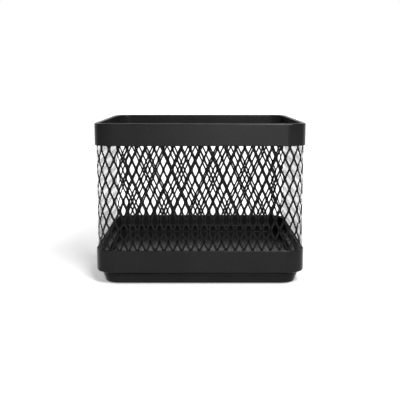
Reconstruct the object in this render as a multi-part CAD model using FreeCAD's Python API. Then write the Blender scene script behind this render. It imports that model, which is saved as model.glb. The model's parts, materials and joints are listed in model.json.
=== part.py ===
import FreeCAD, Part
import math
import os

# Square lazy-susan desk organizer: an expanded-metal bin that turns on a low pan with a ball bearing inside.
# Millimetres, +Z up, front at -Y. The origin is the centre of the plane that the rubber pads stand on.
# Sheet parts are drawn as a section in (n, z): n is the distance in from the bin's outer face.

# ---- driving dimensions ----
SIDE = 152.0             # outside width and depth of the bin
CORNER_R = 14.0          # outside corner radius of the bin
SHEET = 0.8              # steel sheet of the pans, the rim and the inner band
PAD_T = 0.7              # rubber pads under the base pan
BEARING_H = 7.9          # a 3 inch square turntable bearing, plate to plate
TRAY_H = 16.6            # outer height of the tray's wall
BIN_TOP = 117.3          # top of the rim above the table
RIM_H = 16.0             # outer leg of the rim
RIM_INNER_H = 14.0       # inner leg of the rim
BAND_H = 10.0            # inner band that clamps the mesh to the tray
FLANGE_W = 2.2           # the band's lower edge is turned inward this far, before its round end
RUN_GAP = 0.5            # between the turning tray and the base pan's lip
FIT_GAP = 0.1            # between the mesh and the sheets on each side of it
BEND_R = 1.1             # outer bend radius of the sheet parts

MESH_T = 0.7             # thickness of the expanded sheet
DIAMOND_W = 6.39         # short way of one diamond, a quarter of an inch
DIAMOND_H = 14.95        # long way of one diamond
HOLE_HALF_W = 2.3        # half the clear width of a diamond
HOLE_HALF_H = 6.1        # half the clear height of a diamond
BOND_HALF_H = 1.0        # half the height of the bond between two neighbouring diamonds
MESH_RISE = 0.011        # the rows climb this much per millimetre: the sheet is rolled on slightly askew
FRONT_BOND = (-0.37, 25.04)  # one bond of the front and side sheet: right of the front's middle, and up
BACK_BOND = (0.99, 22.3)     # one bond of the back sheet, seen from behind
MESH_EDGE_CLEAR = 0.2    # the mesh stops this far above the band's lower edge
MESH_TOP_CLEAR = 1.6     # and this far below the top of the rim

BASE_HALF = 72.9         # half width of the base pan at its lip
BASE_R = 14.2            # its corner radius there
BASE_TAPER = 2.7         # how far its wall leans in on the way down
LIP_W = 4.0              # inward lip of the base pan
FLOOR_STUB = 4.0         # floor that is bent up with the wall, before the flat middle

PAD_R = 6.0
PAD_AT = 58.0            # pads stand at plus and minus this in x and y

PLATE_HALF = 38.0        # bearing plates are 76 mm square
PLATE_R = 4.0
PLATE_T = 1.0
HOLE_AT = 31.75          # the plates' corner holes, 2.5 inch apart
RACE_R = 24.0            # pitch radius of the ball race
BALL_R = 2.0
BALL_COUNT = 24
BALL_PLAY = 0.05         # between a ball and its race
CAGE_T = 1.0
CAGE_IN = 20.8
CAGE_OUT = 27.2
CAGE_PLAY = 0.1          # between a ball and its pocket
EYELET_R = 9.0           # outside of the hollow rivet that ties the plates together
EYELET_T = 0.8
EYELET_FLANGE_R = 12.5
EYELET_PLAY = 0.1        # between the eyelet and the turning upper plate
EYELET_SEAT = 0.05       # between the eyelet and the lower plate that it is set in

STUD_R = 2.0
STUD_L = 3.8
NUT_H = 2.0
NUT_ACROSS = 7.0
SHANK_R = 2.0
HOLE_PLAY = 0.12         # a fastener in its hole, on the radius
RIVET_HEAD_R = 3.8
RIVET_HEAD_H = 0.5
RIVET_TAIL_R = 2.9
RIVET_TAIL_H = 1.4
RIVET_CORE_R = 1.1       # hole that the blind rivet's mandrel leaves
ROUND_EDGE = 0.3         # small rounding on pads and plates

# ---- worked out from them ----
HALF = SIDE / 2
PAN_Z = PAD_T                                # underside of the base pan
PLATE_Z = PAN_Z + SHEET                      # underside of the lower bearing plate
TRAY_Z = PLATE_Z + BEARING_H                 # underside of the tray
FLOOR_Z = TRAY_Z + SHEET                     # the floor that things stand on
TRAY_TOP = TRAY_Z + TRAY_H
BAND_Z = TRAY_TOP - BAND_H
LIP_Z = TRAY_Z - RUN_GAP                     # top of the base pan's lip
MESH_N = SHEET + FIT_GAP                     # outer face of the mesh
BAND_N = MESH_N + MESH_T + FIT_GAP           # outer face of the inner legs
CHANNEL_N = BAND_N + SHEET                   # inner face of the rim and the band
MESH_Z0 = BAND_Z + MESH_EDGE_CLEAR
MESH_Z1 = BIN_TOP - MESH_TOP_CLEAR
FLAT = HALF - CORNER_R                       # where the flat sides end and the corners begin
MID_Z = PLATE_Z + BEARING_H / 2              # plane of the balls
MESH_MID_R = CORNER_R - MESH_N - MESH_T / 2
BEND_ARC = math.pi / 2 * MESH_MID_R          # length of the mesh round one corner
QUARTER = 2 * FLAT + BEND_ARC                # and from the middle of one side to the middle of the next
SIDES = ("front", "right", "back", "left")
CORNERS = ("front_right", "back_right", "back_left", "front_left")
UP = FreeCAD.Vector(0, 0, 1)
ORIGIN = FreeCAD.Vector(0, 0, 0)


def vec(x, y, z):
    return FreeCAD.Vector(x, y, z)


def turned(shape, degrees):
    """A copy of shape turned about the vertical axis."""
    copy = shape.copy()
    copy.rotate(ORIGIN, UP, degrees)
    return copy


def at_corners(shape, distance):
    """Four copies of a shape drawn at the origin, at plus and minus distance in x and y."""
    copies = []
    for x, y in ((1, -1), (1, 1), (-1, 1), (-1, -1)):
        copy = shape.copy()
        copy.translate(vec(x * distance, y * distance, 0))
        copies.append(copy)
    return copies


def fused(shapes):
    return shapes[0].multiFuse(shapes[1:]).removeSplitter()


def lathe(points, arcs=()):
    """A solid of revolution about Z. points are (r, z).

    arcs maps the index of a point to a point on the arc that follows it.
    """
    arcs = dict(arcs)
    edges = []
    for i, (r, z) in enumerate(points):
        start = vec(r, 0, z)
        r_end, z_end = points[(i + 1) % len(points)]
        end = vec(r_end, 0, z_end)
        if i in arcs:
            edges.append(Part.Arc(start, vec(arcs[i][0], 0, arcs[i][1]), end).toShape())
        else:
            edges.append(Part.LineSegment(start, end).toShape())
    return Part.Face(Part.Wire(edges)).revolve(ORIGIN, UP, 360)


def rounded_square(half, radius, z):
    """A face: a square with round corners."""
    flat = half - radius
    edges = []
    for k in range(4):
        a = math.pi / 2 * k
        centre = vec(flat * (math.cos(a) - math.sin(a)), flat * (math.sin(a) + math.cos(a)), z)
        angles = (a, a + math.pi / 4, a + math.pi / 2)
        start, middle, end = (centre + vec(radius * math.cos(t), radius * math.sin(t), 0) for t in angles)
        edges.append(Part.Arc(start, middle, end).toShape())
        run = vec(-2 * flat * math.sin(a + math.pi / 2), 2 * flat * math.cos(a + math.pi / 2), 0)
        edges.append(Part.LineSegment(end, end + run).toShape())
    return Part.Face(Part.Wire(edges))


def slab(half, radius, z0, z1):
    return rounded_square(half, radius, z0).extrude(vec(0, 0, z1 - z0))


# ---- bent sheet ----
def right_of(d):
    return (d[1], -d[0])


def direction(p, q):
    length = math.hypot(q[0] - p[0], q[1] - p[1])
    return ((q[0] - p[0]) / length, (q[1] - p[1]) / length)


def offset_path(path, distance):
    """The path moved to its right, its corners kept sharp."""
    moved = []
    for i, p in enumerate(path):
        before = direction(path[i - 1], p) if i > 0 else direction(p, path[i + 1])
        after = direction(p, path[i + 1]) if i < len(path) - 1 else before
        a, b = right_of(before), right_of(after)
        scale = distance / (1 + a[0] * b[0] + a[1] * b[1])
        moved.append((p[0] + (a[0] + b[0]) * scale, p[1] + (a[1] + b[1]) * scale))
    return moved


def rounded_path(path, radius):
    """The path as pieces, each a tuple of 2 points for a line or 3 for an arc, with every corner rounded."""
    pieces = []
    last = path[0]
    for before, corner, after in zip(path, path[1:], path[2:]):
        d0, d1 = direction(before, corner), direction(corner, after)
        turn = math.acos(d0[0] * d1[0] + d0[1] * d1[1])
        reach = radius * math.tan(turn / 2)
        start = (corner[0] - d0[0] * reach, corner[1] - d0[1] * reach)
        end = (corner[0] + d1[0] * reach, corner[1] + d1[1] * reach)
        normal = right_of(d0)
        centre = (start[0] + normal[0] * radius, start[1] + normal[1] * radius)
        out = direction(centre, corner)
        middle = (centre[0] + out[0] * radius, centre[1] + out[1] * radius)
        pieces += [(last, start), (start, middle, end)]
        last = end
    pieces.append((last, path[-1]))
    return [p for p in pieces if math.dist(p[0], p[-1]) > 1e-6]


def sheet_section(path, bend=BEND_R, round_ends=(True, True)):
    """Outline of a bent sheet in (n, z). The path is its outer side, and the sheet lies to its right."""
    outer = rounded_path(path, bend)
    inner = [tuple(reversed(p)) for p in reversed(rounded_path(offset_path(path, SHEET), bend - SHEET))]
    caps = []
    for here, there, way, is_round in (
        (outer[-1][-1], inner[0][0], direction(path[-2], path[-1]), round_ends[1]),
        (inner[-1][-1], outer[0][0], direction(path[1], path[0]), round_ends[0]),
    ):
        middle = tuple((here[i] + there[i]) / 2 + way[i] * SHEET / 2 for i in (0, 1))
        caps.append((here, middle, there) if is_round else (here, there))
    return outer + [caps[0]] + inner + [caps[1]]


def ring(section, half, radius):
    """A section in (n, z) carried once round a square with round corners."""
    def point(p):
        return vec(radius - p[0], 0, p[1])

    edges = []
    for piece in section:
        curve = Part.Arc(*map(point, piece)) if len(piece) == 3 else Part.LineSegment(*map(point, piece))
        edges.append(curve.toShape())
    face = Part.Face(Part.Wire(edges))
    flat = half - radius
    corner = face.revolve(ORIGIN, UP, 90)
    side = face.extrude(vec(0, -2 * flat, 0))
    parts = []
    for part in (corner, side):
        part.translate(vec(flat, flat, 0))
        parts += [turned(part, 90 * k) for k in range(4)]
    return fused(parts)


# ---- the bin ----
def tray_pan():
    floor = slab(HALF - FLOOR_STUB, CORNER_R - FLOOR_STUB, TRAY_Z, FLOOR_Z)
    path = [(FLOOR_STUB, TRAY_Z), (0, TRAY_Z), (0, TRAY_TOP - SHEET / 2)]
    wall = ring(sheet_section(path, round_ends=(False, True)), HALF, CORNER_R)
    return fused([wall, floor])


def inner_band():
    """A band with a narrow stiffening flange, turned inward along its lower edge."""
    path = [(BAND_N + FLANGE_W, BAND_Z), (BAND_N, BAND_Z), (BAND_N, TRAY_TOP - SHEET / 2)]
    return ring(sheet_section(path), HALF, CORNER_R)


def rim_channel():
    outer_end = BIN_TOP - RIM_H + SHEET / 2
    inner_end = BIN_TOP - RIM_INNER_H + SHEET / 2
    path = [(0, outer_end), (0, BIN_TOP), (CHANNEL_N, BIN_TOP), (CHANNEL_N, inner_end)]
    return ring(sheet_section(path), HALF, CORNER_R)


def hole_outline(half_w):
    """Corners of one diamond's clear hole, in (across, up)."""
    return [
        (0, HOLE_HALF_H),
        (-half_w, BOND_HALF_H),
        (-half_w, -BOND_HALF_H),
        (0, -HOLE_HALF_H),
        (half_w, -BOND_HALF_H),
        (half_w, BOND_HALF_H),
    ]


def hole_cutter(half_w, y0, y1, z):
    """The space that one diamond leaves open, at x = 0, between the planes y0 and y1."""
    corners = [vec(x, y0, z + up) for x, up in hole_outline(half_w)]
    return Part.Face(Part.makePolygon(corners + corners[:1])).extrude(vec(0, y1 - y0, 0))


def holes_between(s0, s1, bond):
    """(distance along the sheet, height) of each diamond's centre that reaches into the stretch s0 to s1."""
    found = []
    first = math.floor(2 * (s0 - bond[0]) / DIAMOND_W) - 1
    last = math.ceil(2 * (s1 - bond[0]) / DIAMOND_W) + 1
    for i in range(first, last + 1):
        s = bond[0] + i * DIAMOND_W / 2
        if not s0 - HOLE_HALF_W < s < s1 + HOLE_HALF_W:
            continue
        for j in range(-2, round(BIN_TOP / DIAMOND_H)):
            z = bond[1] + (j + (i + 1) % 2 / 2) * DIAMOND_H + MESH_RISE * s
            if MESH_Z0 + BOND_HALF_H < z < MESH_Z1 - BOND_HALF_H:
                found.append((s, z))
    return found


def in_one_piece(shape):
    """The shape without the slivers that a cut edge leaves loose."""
    return max(shape.Solids, key=lambda solid: solid.Volume)


def mesh_panel(k):
    """The flat mesh of side k, counted from the front towards +X."""
    middle, bond = ((0, FRONT_BOND), (QUARTER, FRONT_BOND), (0, BACK_BOND), (-QUARTER, FRONT_BOND))[k]
    y = -(HALF - MESH_N)
    plate = Part.makeBox(2 * FLAT, MESH_T, MESH_Z1 - MESH_Z0, vec(-FLAT, y, MESH_Z0))
    cutters = []
    for s, z in holes_between(middle - FLAT, middle + FLAT, bond):
        cutter = hole_cutter(HOLE_HALF_W, y - MESH_T, y + 2 * MESH_T, z)
        cutter.translate(vec(s - middle, 0, 0))
        cutters.append(cutter)
    return turned(in_one_piece(plate.cut(cutters)), 90 * k)


def mesh_corner(k):
    """The mesh round the corner after side k. All four bends belong to the front and side sheet."""
    begin = (FLAT, QUARTER + FLAT, FLAT - 2 * QUARTER, FLAT - QUARTER)[k]
    outer, inner = CORNER_R - MESH_N, CORNER_R - MESH_N - MESH_T
    face = Part.Face(Part.makePolygon([vec(r, 0, z) for r, z in (
        (inner, MESH_Z0), (outer, MESH_Z0), (outer, MESH_Z1), (inner, MESH_Z1), (inner, MESH_Z0))]))
    bend = face.revolve(ORIGIN, UP, 90)
    bend.rotate(ORIGIN, UP, -90)
    half_w = MESH_MID_R * math.sin(HOLE_HALF_W / MESH_MID_R)
    cutters = []
    for s, z in holes_between(begin, begin + BEND_ARC, FRONT_BOND):
        cutter = hole_cutter(half_w, -outer - MESH_T, -inner + 2 * MESH_T, z)
        cutter.rotate(ORIGIN, UP, math.degrees((s - begin) / MESH_MID_R))
        cutters.append(cutter)
    corner = in_one_piece(bend.cut(cutters))
    corner.translate(vec(FLAT, -FLAT, 0))
    return turned(corner, 90 * k)


# ---- the turntable ----
def base_pan():
    path = [(BASE_TAPER + FLOOR_STUB, PAN_Z), (BASE_TAPER, PAN_Z), (0, LIP_Z), (LIP_W, LIP_Z)]
    wall = ring(sheet_section(path, round_ends=(False, True)), BASE_HALF, BASE_R)
    inset = BASE_TAPER + FLOOR_STUB
    floor = slab(BASE_HALF - inset, BASE_R - inset, PAN_Z, PLATE_Z)
    hole = Part.makeCylinder(SHANK_R + HOLE_PLAY, 2 * SHEET, vec(0, 0, PAN_Z - SHEET / 2))
    return fused([wall, floor]).cut(at_corners(hole, HOLE_AT))


def foot_pads():
    pad = Part.makeCylinder(PAD_R, PAD_T)
    pad = pad.makeChamfer(ROUND_EDGE, [e for e in pad.Edges if e.BoundBox.ZMax < PAD_T / 2])
    return at_corners(pad, PAD_AT)


def bearing_plate(centre_hole):
    """The lower plate: a square flange, a raised web, and a groove for the balls."""
    groove = BALL_R + BALL_PLAY
    under = groove + PLATE_T
    lip_r = groove * math.sin(math.pi / 3)
    lip_z = MID_Z - groove * math.cos(math.pi / 3)
    web_z = PLATE_Z + 1.2
    under_r = math.sqrt(under ** 2 - (MID_Z - web_z) ** 2)
    web_end, flange_begin, flange_end = RACE_R + 3.6, RACE_R + 5.9, RACE_R + 9
    points = [
        (centre_hole, web_z),
        (centre_hole, web_z + PLATE_T),
        (RACE_R - lip_r - 1.2, web_z + PLATE_T),
        (RACE_R - lip_r, lip_z),
        (RACE_R + lip_r, lip_z),
        (RACE_R + lip_r + 1.2, web_z + PLATE_T),
        (web_end + 0.4, web_z + PLATE_T),
        (flange_begin + 0.4, PLATE_Z + PLATE_T),
        (flange_end, PLATE_Z + PLATE_T),
        (flange_end, PLATE_Z),
        (flange_begin, PLATE_Z),
        (web_end, web_z),
        (RACE_R + under_r, web_z),
        (RACE_R - under_r, web_z),
    ]
    disc = lathe(points, {3: (RACE_R, MID_Z - groove), 12: (RACE_R, MID_Z - under)})
    flange = slab(PLATE_HALF, PLATE_R, PLATE_Z, PLATE_Z + PLATE_T)
    flange = flange.cut(Part.makeCylinder(flange_end - 1, 2 * PLATE_T, vec(0, 0, PLATE_Z - PLATE_T / 2)))
    hole = Part.makeCylinder(STUD_R + HOLE_PLAY, 2 * PLATE_T, vec(0, 0, PLATE_Z - PLATE_T / 2))
    return fused([disc, flange]).cut(at_corners(hole, HOLE_AT))


def upper_plate():
    plate = bearing_plate(EYELET_R + EYELET_PLAY)
    return plate.mirror(vec(0, 0, MID_Z), UP)


def centre_eyelet():
    """A hollow rivet. Its lower flange seats on the lower plate; its upper one clears the upper plate."""
    low = PLATE_Z + 1.2 - EYELET_T
    high = 2 * MID_Z - low
    inside = EYELET_R - EYELET_T
    play = EYELET_SEAT
    return lathe([
        (inside, low),
        (EYELET_FLANGE_R, low),
        (EYELET_FLANGE_R, low + EYELET_T),
        (EYELET_R, low + EYELET_T),
        (EYELET_R, high - EYELET_T + play),
        (EYELET_FLANGE_R, high - EYELET_T + play),
        (EYELET_FLANGE_R, high + play),
        (inside, high + play),
    ])


def balls():
    ball = Part.makeSphere(BALL_R, vec(RACE_R, 0, MID_Z))
    return [turned(ball, 360 / BALL_COUNT * (k + 0.5)) for k in range(BALL_COUNT)]


def ball_cage():
    low = MID_Z - CAGE_T / 2
    cage = lathe([(CAGE_IN, low), (CAGE_OUT, low), (CAGE_OUT, low + CAGE_T), (CAGE_IN, low + CAGE_T)])
    pocket = Part.makeCylinder(BALL_R + CAGE_PLAY, 2 * CAGE_T, vec(RACE_R, 0, low - CAGE_T / 2))
    return cage.cut([turned(pocket, 360 / BALL_COUNT * (k + 0.5)) for k in range(BALL_COUNT)])


def base_rivets():
    """Blind rivets, set from below through the pan and the lower plate."""
    tail_z = PLATE_Z + PLATE_T
    head_z = PAN_Z - RIVET_HEAD_H
    rim_z = PAN_Z - RIVET_HEAD_H / 3
    rivet = lathe([
        (RIVET_CORE_R, head_z),
        (RIVET_HEAD_R - RIVET_HEAD_H, head_z),
        (RIVET_HEAD_R, rim_z),
        (RIVET_HEAD_R, PAN_Z),
        (SHANK_R, PAN_Z),
        (SHANK_R, tail_z),
        (RIVET_TAIL_R, tail_z),
        (RIVET_TAIL_R, tail_z + RIVET_TAIL_H / 2),
        (RIVET_CORE_R, tail_z + RIVET_TAIL_H),
    ])
    return at_corners(rivet, HOLE_AT)


def tray_studs():
    """Short studs, welded to the underside of the tray's floor."""
    stud = Part.makeCylinder(STUD_R, STUD_L, vec(0, 0, TRAY_Z - STUD_L))
    stud = stud.makeChamfer(ROUND_EDGE, [e for e in stud.Edges if e.BoundBox.ZMax < TRAY_Z - STUD_L / 2])
    return at_corners(stud, HOLE_AT)


def bearing_nuts():
    top = TRAY_Z - PLATE_T
    reach = NUT_ACROSS / math.sqrt(3)
    angles = [math.pi / 3 * k for k in range(6)]
    corners = [vec(reach * math.cos(a), reach * math.sin(a), top - NUT_H) for a in angles]
    hexagon = Part.Face(Part.makePolygon(corners + corners[:1])).extrude(vec(0, 0, NUT_H))
    cone = Part.makeCone(reach - ROUND_EDGE, reach + NUT_H - ROUND_EDGE, NUT_H, vec(0, 0, top - NUT_H))
    bore = Part.makeCylinder(STUD_R + EYELET_SEAT, 2 * NUT_H, vec(0, 0, top - 1.5 * NUT_H))
    return at_corners(hexagon.common(cone).cut(bore), HOLE_AT)


def named_parts():
    """Node name to shape, or to a list of separate solids."""
    parts = {
        "base_pan": base_pan(),
        "bearing_lower_plate": bearing_plate(EYELET_R + EYELET_SEAT),
        "bearing_eyelet": centre_eyelet(),
        "base_rivets": base_rivets(),
        "bearing_balls": balls(),
        "ball_cage": ball_cage(),
        "bearing_upper_plate": upper_plate(),
        "tray_studs": tray_studs(),
        "bearing_nuts": bearing_nuts(),
        "tray_pan": tray_pan(),
        "tray_inner_band": inner_band(),
        "rim_channel": rim_channel(),
    }
    for name, pad in zip(CORNERS, foot_pads()):
        parts["foot_pad_" + name] = pad
    for k in range(4):
        parts["mesh_" + SIDES[k]] = mesh_panel(k)
        parts["mesh_corner_" + CORNERS[k]] = mesh_corner(k)
    return parts


os.makedirs("parts", exist_ok=True)
for node, made in named_parts().items():
    shape = Part.makeCompound(made) if isinstance(made, list) else made
    state = "valid" if shape.isValid() else "NOT VALID"
    print(node, state, len(shape.Solids), "solids", round(shape.Volume, 1), "mm3")
    shape.exportStep("parts/" + node + ".step")
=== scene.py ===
"""Square mesh bin on a turntable base.

Metres, +Z up, front at -Y. The sheet parts, the base and the bearing are the CAD nodes with materials.
The expanded metal is modelled here, strand by strand, and takes the place of the CAD's perforated sheets.
"""
import json
import math

import bmesh
import bpy
import numpy as np
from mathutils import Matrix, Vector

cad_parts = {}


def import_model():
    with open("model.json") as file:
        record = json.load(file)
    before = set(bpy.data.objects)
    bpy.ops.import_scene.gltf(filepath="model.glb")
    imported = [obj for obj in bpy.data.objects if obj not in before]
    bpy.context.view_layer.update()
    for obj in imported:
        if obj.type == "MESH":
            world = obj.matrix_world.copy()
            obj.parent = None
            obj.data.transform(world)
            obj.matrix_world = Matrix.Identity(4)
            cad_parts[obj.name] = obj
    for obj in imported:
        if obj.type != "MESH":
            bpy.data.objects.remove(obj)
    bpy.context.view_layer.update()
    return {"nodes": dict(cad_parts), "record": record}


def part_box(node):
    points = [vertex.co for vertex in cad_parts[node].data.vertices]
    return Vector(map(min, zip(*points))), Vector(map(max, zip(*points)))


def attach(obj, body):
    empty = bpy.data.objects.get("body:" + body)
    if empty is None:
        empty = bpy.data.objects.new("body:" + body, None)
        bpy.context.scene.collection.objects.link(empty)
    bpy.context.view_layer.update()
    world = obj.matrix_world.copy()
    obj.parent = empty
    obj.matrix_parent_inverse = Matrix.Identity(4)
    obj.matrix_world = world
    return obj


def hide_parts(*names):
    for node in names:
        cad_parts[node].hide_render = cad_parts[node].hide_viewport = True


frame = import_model()

# ---- the bin's plan ----
TRAY_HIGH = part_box("tray_pan")[1]
MESH_LOW, MESH_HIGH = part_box("mesh_front")
HALF = TRAY_HIGH.x
CORNER_R = 0.014                      # of the tray's outer face
FLAT = HALF - CORNER_R                # the flat sides end here, and the corners begin
MESH_IN = HALF + (MESH_LOW.y + MESH_HIGH.y) / 2    # from the tray's outer face in to the mesh
BEND_R = CORNER_R - MESH_IN
QUARTER = 2 * FLAT + math.pi / 2 * BEND_R    # middle of one side to the middle of the next, along the mesh

# ---- expanded metal ----
DIAMOND_W = 0.00639
DIAMOND_H = 0.01495
ROW_RISE = 0.011                      # the rows climb a little on their way round
ROWS = range(-3, 12)                  # enough to fill the height anywhere; what passes its ends is dropped
FRONT_BOND = (-0.00037, 0.02504)      # one bond of the front length: along from the front's middle, and up
BACK_BOND = (0.00099, 0.0223)         # one of the back length: along from the back's middle, and up
STRAND_W = 0.00150
STRAND_T = 0.00005
STRAND_STEPS = 8                      # rings of points from one bond to the next
BOND_W = 0.0021                       # two strands side by side, overlapping
BOND_HALF_H = 0.0010
BOND_ROUND = 0.0009                   # how far up and down a strand's bend is rounded
LAP = 0.0075                          # the back length runs on into the back corners, over the front length
LAP_DEPTH = 0.0002                    # and lies this much further in

# ---- powder coat: shade, and roughness range ----
SHEET_COAT = (0.0122, (0.22, 0.28))
# the same powder coat as the sheets, with its shade painted darker to stand in for shade on the thin strands;
# the rougher gloss is its own
MESH_COAT_PAINTED_DARKER = (0.007, (0.40, 0.50))
COAT_SPECULAR = 0.25

# ---- camera ----
CAMERA_AT = (0.0, -0.6077, 0.1449)
CAMERA_PITCH = math.radians(8.75)     # down from the horizon
CAMERA_LENS = 68.04
CAMERA_SENSOR = 36.0
CAMERA_NEAR = 0.01

# ---- light: where, aimed at, size, watts ----
KEY_SOFTBOX = ((0.312, -0.884, 0.897), (0, 0, 0.05), (0.35, 0.35), 15)
FRONT_SOFTBOX = ((0.11, -1.2, 0.25), (0, 0, 0.08), (0.28, 0.7), 1.1)
FLOOR_R = 9.0
FLOOR_SIDES = 24
FLOOR_GLOW = 0.35                     # near the bin, where the key light does the rest
FLOOR_GLOW_FROM = 0.13
FLOOR_GLOW_TO = 0.38
# How bright the world is as a light, as a share of WORLD_LEVEL, from straight down (0) past the horizon
# (0.5) to straight up (1): in front of and beside the bin, and behind it.
WORLD_LEVEL = 2.0
FRONT_LEVELS = [(0.28, 0.13), (0.36, 0.33), (0.45, 0.025), (1.0, 0.03)]
BACK_LEVELS = [
    (0.48, 0.5), (0.495, 0.02), (0.53, 0.02), (0.56, 0.4),
    (0.60, 0.5), (0.66, 0.65), (0.78, 0.75), (1.0, 0.75),
]
BEHIND_FROM, BEHIND_TO = 0.3, 0.75    # how far a direction points to +Y where the front's light gives way


# ---------------------------------------------------------------- shader helpers
def material(name, color, roughness, metallic=0.0, specular=0.5):
    mat = bpy.data.materials.new(name)
    mat.use_nodes = True
    shader = mat.node_tree.nodes["Principled BSDF"]
    shader.inputs["Base Color"].default_value = (*color, 1.0)
    shader.inputs["Roughness"].default_value = roughness
    shader.inputs["Metallic"].default_value = metallic
    shader.inputs["Specular IOR Level"].default_value = specular
    return mat, mat.node_tree, shader


def link(tree, source, shader, name):
    tree.links.new(source, shader.inputs[name])


def noise(tree, scale, detail=3.0, roughness=0.5, stretch=(1, 1, 1)):
    """Noise in object space. scale is in bumps per metre."""
    coords = tree.nodes.new("ShaderNodeTexCoord")
    mapping = tree.nodes.new("ShaderNodeMapping")
    mapping.inputs["Scale"].default_value = stretch
    texture = tree.nodes.new("ShaderNodeTexNoise")
    texture.inputs["Scale"].default_value = scale
    texture.inputs["Detail"].default_value = detail
    texture.inputs["Roughness"].default_value = roughness
    tree.links.new(coords.outputs["Object"], mapping.inputs["Vector"])
    tree.links.new(mapping.outputs["Vector"], texture.inputs["Vector"])
    return texture.outputs["Fac"]


def ramp(tree, source, stops):
    """stops is a list of (position, value or colour)."""
    node = tree.nodes.new("ShaderNodeValToRGB")
    tree.links.new(source, node.inputs["Fac"])
    elements = node.color_ramp.elements
    while len(elements) < len(stops):
        elements.new(0.5)
    for element, (position, value) in zip(elements, stops):
        color = value if isinstance(value, tuple) else (value, value, value)
        element.position = position
        element.color = (*color, 1.0)
    return node.outputs["Color"]


def rescaled(tree, source, low, high, to_low=0.0, to_high=1.0):
    """source stretched from low..high to to_low..to_high, and held at either end."""
    node = tree.nodes.new("ShaderNodeMapRange")
    node.inputs["From Min"].default_value = low
    node.inputs["From Max"].default_value = high
    node.inputs["To Min"].default_value = to_low
    node.inputs["To Max"].default_value = to_high
    tree.links.new(source, node.inputs["Value"])
    return node.outputs["Result"]


def mixed(tree, share, first, second):
    """first where share is 0, second where it is 1. Either may be a plain grey level."""
    node = tree.nodes.new("ShaderNodeMix")
    node.data_type = "RGBA"
    tree.links.new(share, node.inputs["Factor"])
    for socket, value in ((node.inputs[6], first), (node.inputs[7], second)):
        if isinstance(value, float):
            socket.default_value = (value, value, value, 1.0)
        else:
            tree.links.new(value, socket)
    return node.outputs[2]


def bump(tree, shader, layers):
    """layers is a list of (height socket, strength, distance in metres), coarse first."""
    normal = None
    for height, strength, distance in layers:
        node = tree.nodes.new("ShaderNodeBump")
        node.inputs["Strength"].default_value = strength
        node.inputs["Distance"].default_value = distance
        tree.links.new(height, node.inputs["Height"])
        if normal is not None:
            tree.links.new(normal, node.inputs["Normal"])
        normal = node.outputs["Normal"]
    tree.links.new(normal, shader.inputs["Normal"])


# ---------------------------------------------------------------- materials
def powder_coat(name, level, gloss):
    """Matte black powder coat: fine orange peel, uneven shade and gloss. gloss is a roughness range."""
    mat, tree, shader = material(name, (level, level, level), gloss[0], specular=COAT_SPECULAR)
    cloud = noise(tree, 45, 4)
    grain = noise(tree, 1900, 2)
    peel = noise(tree, 700, 2)
    dark, light = ((share * level, share * level, share * level * 1.04) for share in (0.91, 1.09))
    link(tree, ramp(tree, cloud, [(0.3, dark), (0.7, light)]), shader, "Base Color")
    link(tree, ramp(tree, grain, [(0.3, gloss[0]), (0.7, gloss[1])]), shader, "Roughness")
    bump(tree, shader, [(cloud, 0.1, 0.0003), (peel, 0.25, 0.00005), (grain, 0.2, 0.00002)])
    return mat


def zinc_plate():
    """Zinc-plated steel: cloudy, with fine scratches across the plate."""
    mat, tree, shader = material("zinc_plated_steel", (0.55, 0.56, 0.57), 0.36, metallic=1.0)
    cloud = noise(tree, 120, 4)
    scratches = noise(tree, 900, 3, stretch=(1, 9, 1))
    shade = ramp(tree, cloud, [(0.3, (0.47, 0.48, 0.50)), (0.7, (0.62, 0.62, 0.61))])
    link(tree, shade, shader, "Base Color")
    link(tree, ramp(tree, scratches, [(0.35, 0.28), (0.65, 0.46)]), shader, "Roughness")
    bump(tree, shader, [(scratches, 0.2, 0.00003)])
    return mat


def ball_steel():
    """Polished steel with a smear of grease."""
    mat, tree, shader = material("ball_steel", (0.72, 0.72, 0.73), 0.12, metallic=1.0)
    smear = noise(tree, 1500, 3)
    link(tree, ramp(tree, smear, [(0.3, 0.08), (0.7, 0.22)]), shader, "Roughness")
    bump(tree, shader, [(smear, 0.05, 0.00001)])
    return mat


def cage_nylon():
    """Natural nylon, slightly uneven in shade."""
    mat, tree, shader = material("cage_nylon", (0.78, 0.77, 0.72), 0.48)
    cloud = noise(tree, 300, 3)
    shade = ramp(tree, cloud, [(0.3, (0.74, 0.73, 0.67)), (0.7, (0.81, 0.80, 0.76))])
    link(tree, shade, shader, "Base Color")
    link(tree, ramp(tree, cloud, [(0.3, 0.42), (0.7, 0.56)]), shader, "Roughness")
    bump(tree, shader, [(noise(tree, 2500, 2), 0.2, 0.00001)])
    return mat


def pad_rubber():
    """Grainy black rubber with a little dust."""
    mat, tree, shader = material("pad_rubber", (0.03, 0.03, 0.03), 0.8, specular=0.3)
    grain = noise(tree, 2600, 3)
    dust = noise(tree, 260, 4)
    shade = ramp(tree, dust, [(0.45, (0.026, 0.026, 0.026)), (0.75, (0.055, 0.053, 0.05))])
    link(tree, shade, shader, "Base Color")
    link(tree, ramp(tree, grain, [(0.3, 0.7), (0.7, 0.9)]), shader, "Roughness")
    bump(tree, shader, [(grain, 0.5, 0.00004)])
    return mat


def dress(obj, mat):
    obj.data.materials.clear()
    obj.data.materials.append(mat)


def dress_nodes(slots):
    """Every CAD node gets the material of its slot in the record."""
    for part in frame["record"]["subparts"]:
        dress(frame["nodes"][part["node"]], slots[part["material_slot"]])


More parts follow.
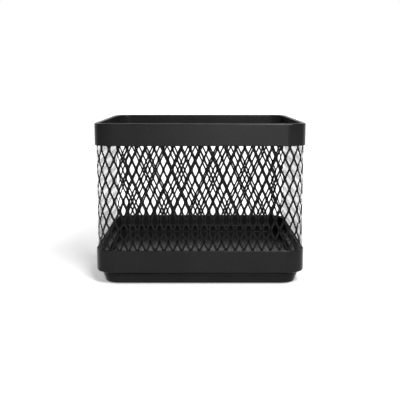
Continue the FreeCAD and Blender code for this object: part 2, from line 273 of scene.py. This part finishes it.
# ---------------------------------------------------------------- expanded metal
def around(s, inward):
    """x and y of points on the wall: s along the mesh from the front's middle, inward from the tray's face."""
    side = np.floor((s + FLAT) / QUARTER)
    along = s + FLAT - side * QUARTER
    angle = np.maximum(along - 2 * FLAT, 0) / BEND_R
    radius = CORNER_R - inward
    x = np.where(angle > 0, FLAT + radius * np.sin(angle), along - FLAT)
    y = np.where(angle > 0, -FLAT - radius * np.cos(angle), inward - HALF)
    turn = side * math.pi / 2
    return x * np.cos(turn) - y * np.sin(turn), x * np.sin(turn) + y * np.cos(turn)


def strand_run(up):
    """Share of the way across that a strand has come at a height above its bond, with rounded bends."""
    length = DIAMOND_H / 2 - 2 * BOND_HALF_H

    def area(z):
        z = z - BOND_HALF_H
        return np.where(z < 0, 0, np.where(z < length, z * z / (2 * length), z - length / 2))

    return (area(up + BOND_ROUND) - area(up - BOND_ROUND)) / (2 * BOND_ROUND)


def strand_section():
    """A strand's cross-section, across and inward: a flat bar with bevelled edges."""
    w, t = STRAND_W / 2, STRAND_T / 2
    flat = w - t
    return np.array([(w, 0), (flat, -t), (-flat, -t), (-w, 0), (-flat, t), (flat, t)]).T


def strand(s, z, side):
    """Rings of (along, up, inward): a strand from the bond at (s, z) to the next one up, on side 1 or -1."""
    up = np.linspace(0, DIAMOND_H / 2, STRAND_STEPS)
    offset = (BOND_W - STRAND_W) / 2
    reach = DIAMOND_W / 2 - 2 * offset
    along = side * (offset + reach * strand_run(up))
    slope = np.gradient(along, up)[:, None]
    across, inward = strand_section()
    across = across / np.hypot(1, slope)
    rings = np.broadcast_arrays(s + along[:, None] + across, z + up[:, None] - slope * across, inward)
    return np.stack(rings, axis=-1)


def strands_of(bond, s_from, s_to, middle):
    """All strands of one length of mesh, each made once, from its lower bond, as an open tube of its own.

    bond is where one bond lies. s_from and s_to are the length's ends. All are measured along from middle.
    """
    first = math.ceil(2 * (s_from - bond[0]) / DIAMOND_W)
    last = math.floor(2 * (s_to - bond[0]) / DIAMOND_W)
    found = []
    for i in range(first, last + 1):
        s = bond[0] + i * DIAMOND_W / 2
        for j in ROWS:
            z = bond[1] + (j + i % 2 / 2) * DIAMOND_H + ROW_RISE * s
            if z <= MESH_LOW.z or z + DIAMOND_H / 2 >= MESH_HIGH.z:
                continue
            found += [strand(middle + s, z, side) for side in (-1, 1) if first <= i + side <= last]
    return np.array(found)


def tube_faces(count, steps, corners):
    """The four-sided faces of count open tubes, each of so many rings of so many corners."""
    tube, ring, corner = np.indices((count, steps - 1, corners))
    start = (tube * steps + ring) * corners
    after = (corner + 1) % corners
    faces = [start + corner, start + after, start + corners + after, start + corners + corner]
    return np.stack(faces, axis=-1).reshape(-1, 4).tolist()


def mesh_object(name, points, faces):
    mesh = bpy.data.meshes.new(name)
    mesh.from_pydata(points, [], faces)
    mesh.update()
    obj = bpy.data.objects.new(name, mesh)
    bpy.context.scene.collection.objects.link(obj)
    return obj


def tidy_mesh(obj):
    """Point the faces outwards and shade them smooth."""
    bm = bmesh.new()
    bm.from_mesh(obj.data)
    bmesh.ops.recalc_face_normals(bm, faces=bm.faces)
    for face in bm.faces:
        face.smooth = True
    bm.to_mesh(obj.data)
    bm.free()


def mesh_sleeve():
    """The wall: one length round the front, the sides and all four corners, and one across the back."""
    edge = 2 * QUARTER - FLAT
    front = strands_of(FRONT_BOND, -edge, edge, 0)
    back = strands_of(BACK_BOND, -FLAT - LAP, FLAT + LAP, 2 * QUARTER)
    back[..., 2] += LAP_DEPTH
    rings = np.concatenate([front, back])
    x, y = around(rings[..., 0], MESH_IN + rings[..., 2])
    points = np.stack([x, y, rings[..., 1]], axis=-1).reshape(-1, 3)
    obj = mesh_object("mesh_sleeve", points.tolist(), tube_faces(*rings.shape[:3]))
    tidy_mesh(obj)
    return obj


# ---------------------------------------------------------------- stage
def studio_floor():
    """A plain white floor. It glows more with distance, so it meets the white background unseen."""
    angles = np.linspace(0, 2 * math.pi, FLOOR_SIDES, endpoint=False)
    points = [(FLOOR_R * math.cos(a), FLOOR_R * math.sin(a), 0) for a in angles]
    obj = mesh_object("studio_floor", points, [tuple(range(FLOOR_SIDES))])
    mat, tree, shader = material("studio_white", (0.9, 0.9, 0.9), 0.9, specular=0.1)
    coords = tree.nodes.new("ShaderNodeTexCoord")
    distance = tree.nodes.new("ShaderNodeVectorMath")
    distance.operation = "LENGTH"
    tree.links.new(coords.outputs["Object"], distance.inputs[0])
    glow = rescaled(tree, distance.outputs["Value"], FLOOR_GLOW_FROM, FLOOR_GLOW_TO, FLOOR_GLOW, 1.0)
    shader.inputs["Emission Color"].default_value = (1, 1, 1, 1)
    link(tree, glow, shader, "Emission Strength")
    link(tree, ramp(tree, noise(tree, 3, 2), [(0.3, 0.88), (0.7, 0.92)]), shader, "Base Color")
    dress(obj, mat)
    obj.visible_glossy = False


def area_light(name, at, aim, size, power):
    light = bpy.data.lights.new(name, "AREA")
    light.shape = "RECTANGLE"
    light.size, light.size_y = size
    light.energy = power
    obj = bpy.data.objects.new(name, light)
    bpy.context.scene.collection.objects.link(obj)
    obj.location = at
    toward = np.array(aim) - np.array(at)
    toward = toward / np.linalg.norm(toward)
    yaw = math.atan2(toward[1], toward[0]) - math.pi / 2
    obj.rotation_euler = (math.acos(-toward[2]), 0, yaw)


def world():
    """White to look at. As a light it is dim, except from below and from above the horizon behind."""
    made = bpy.data.worlds.new("studio")
    bpy.context.scene.world = made
    made.use_nodes = True
    tree = made.node_tree
    coords = tree.nodes.new("ShaderNodeTexCoord")
    split = tree.nodes.new("ShaderNodeSeparateXYZ")
    tree.links.new(coords.outputs["Generated"], split.inputs["Vector"])
    height = rescaled(tree, split.outputs["Z"], -1, 1)
    behind = rescaled(tree, split.outputs["Y"], BEHIND_FROM, BEHIND_TO)
    level = mixed(tree, behind, ramp(tree, height, FRONT_LEVELS), ramp(tree, height, BACK_LEVELS))
    path = tree.nodes.new("ShaderNodeLightPath")
    color = mixed(tree, path.outputs["Is Camera Ray"], level, 1.0 / WORLD_LEVEL)
    tree.links.new(color, tree.nodes["Background"].inputs["Color"])
    tree.nodes["Background"].inputs["Strength"].default_value = WORLD_LEVEL


def camera():
    data = bpy.data.cameras.new("camera")
    data.lens = CAMERA_LENS
    data.sensor_width = CAMERA_SENSOR
    data.clip_start = CAMERA_NEAR
    obj = bpy.data.objects.new("camera", data)
    bpy.context.scene.collection.objects.link(obj)
    obj.location = CAMERA_AT
    obj.rotation_euler = (math.pi / 2 - CAMERA_PITCH, 0, 0)
    bpy.context.scene.camera = obj


# ---------------------------------------------------------------- putting it together
camera()
area_light("key_softbox", *KEY_SOFTBOX)
area_light("front_softbox", *FRONT_SOFTBOX)
world()
studio_floor()
dress_nodes({
    "powder_coat": powder_coat("powder_coat_black", *SHEET_COAT),
    "zinc_plate": zinc_plate(),
    "ball_steel": ball_steel(),
    "cage_nylon": cage_nylon(),
    "pad_rubber": pad_rubber(),
})

sleeve = mesh_sleeve()
# the strands' coat: a darker copy of the sheets' coat, where the darkening is painted shade
dress(sleeve, powder_coat("powder_coat_on_mesh", *MESH_COAT_PAINTED_DARKER))
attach(sleeve, "bin")
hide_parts(*[n for n in frame["nodes"] if n.startswith("mesh_")])

bpy.context.scene.view_settings.view_transform = "Standard"
bpy.context.scene.view_settings.look = "None"
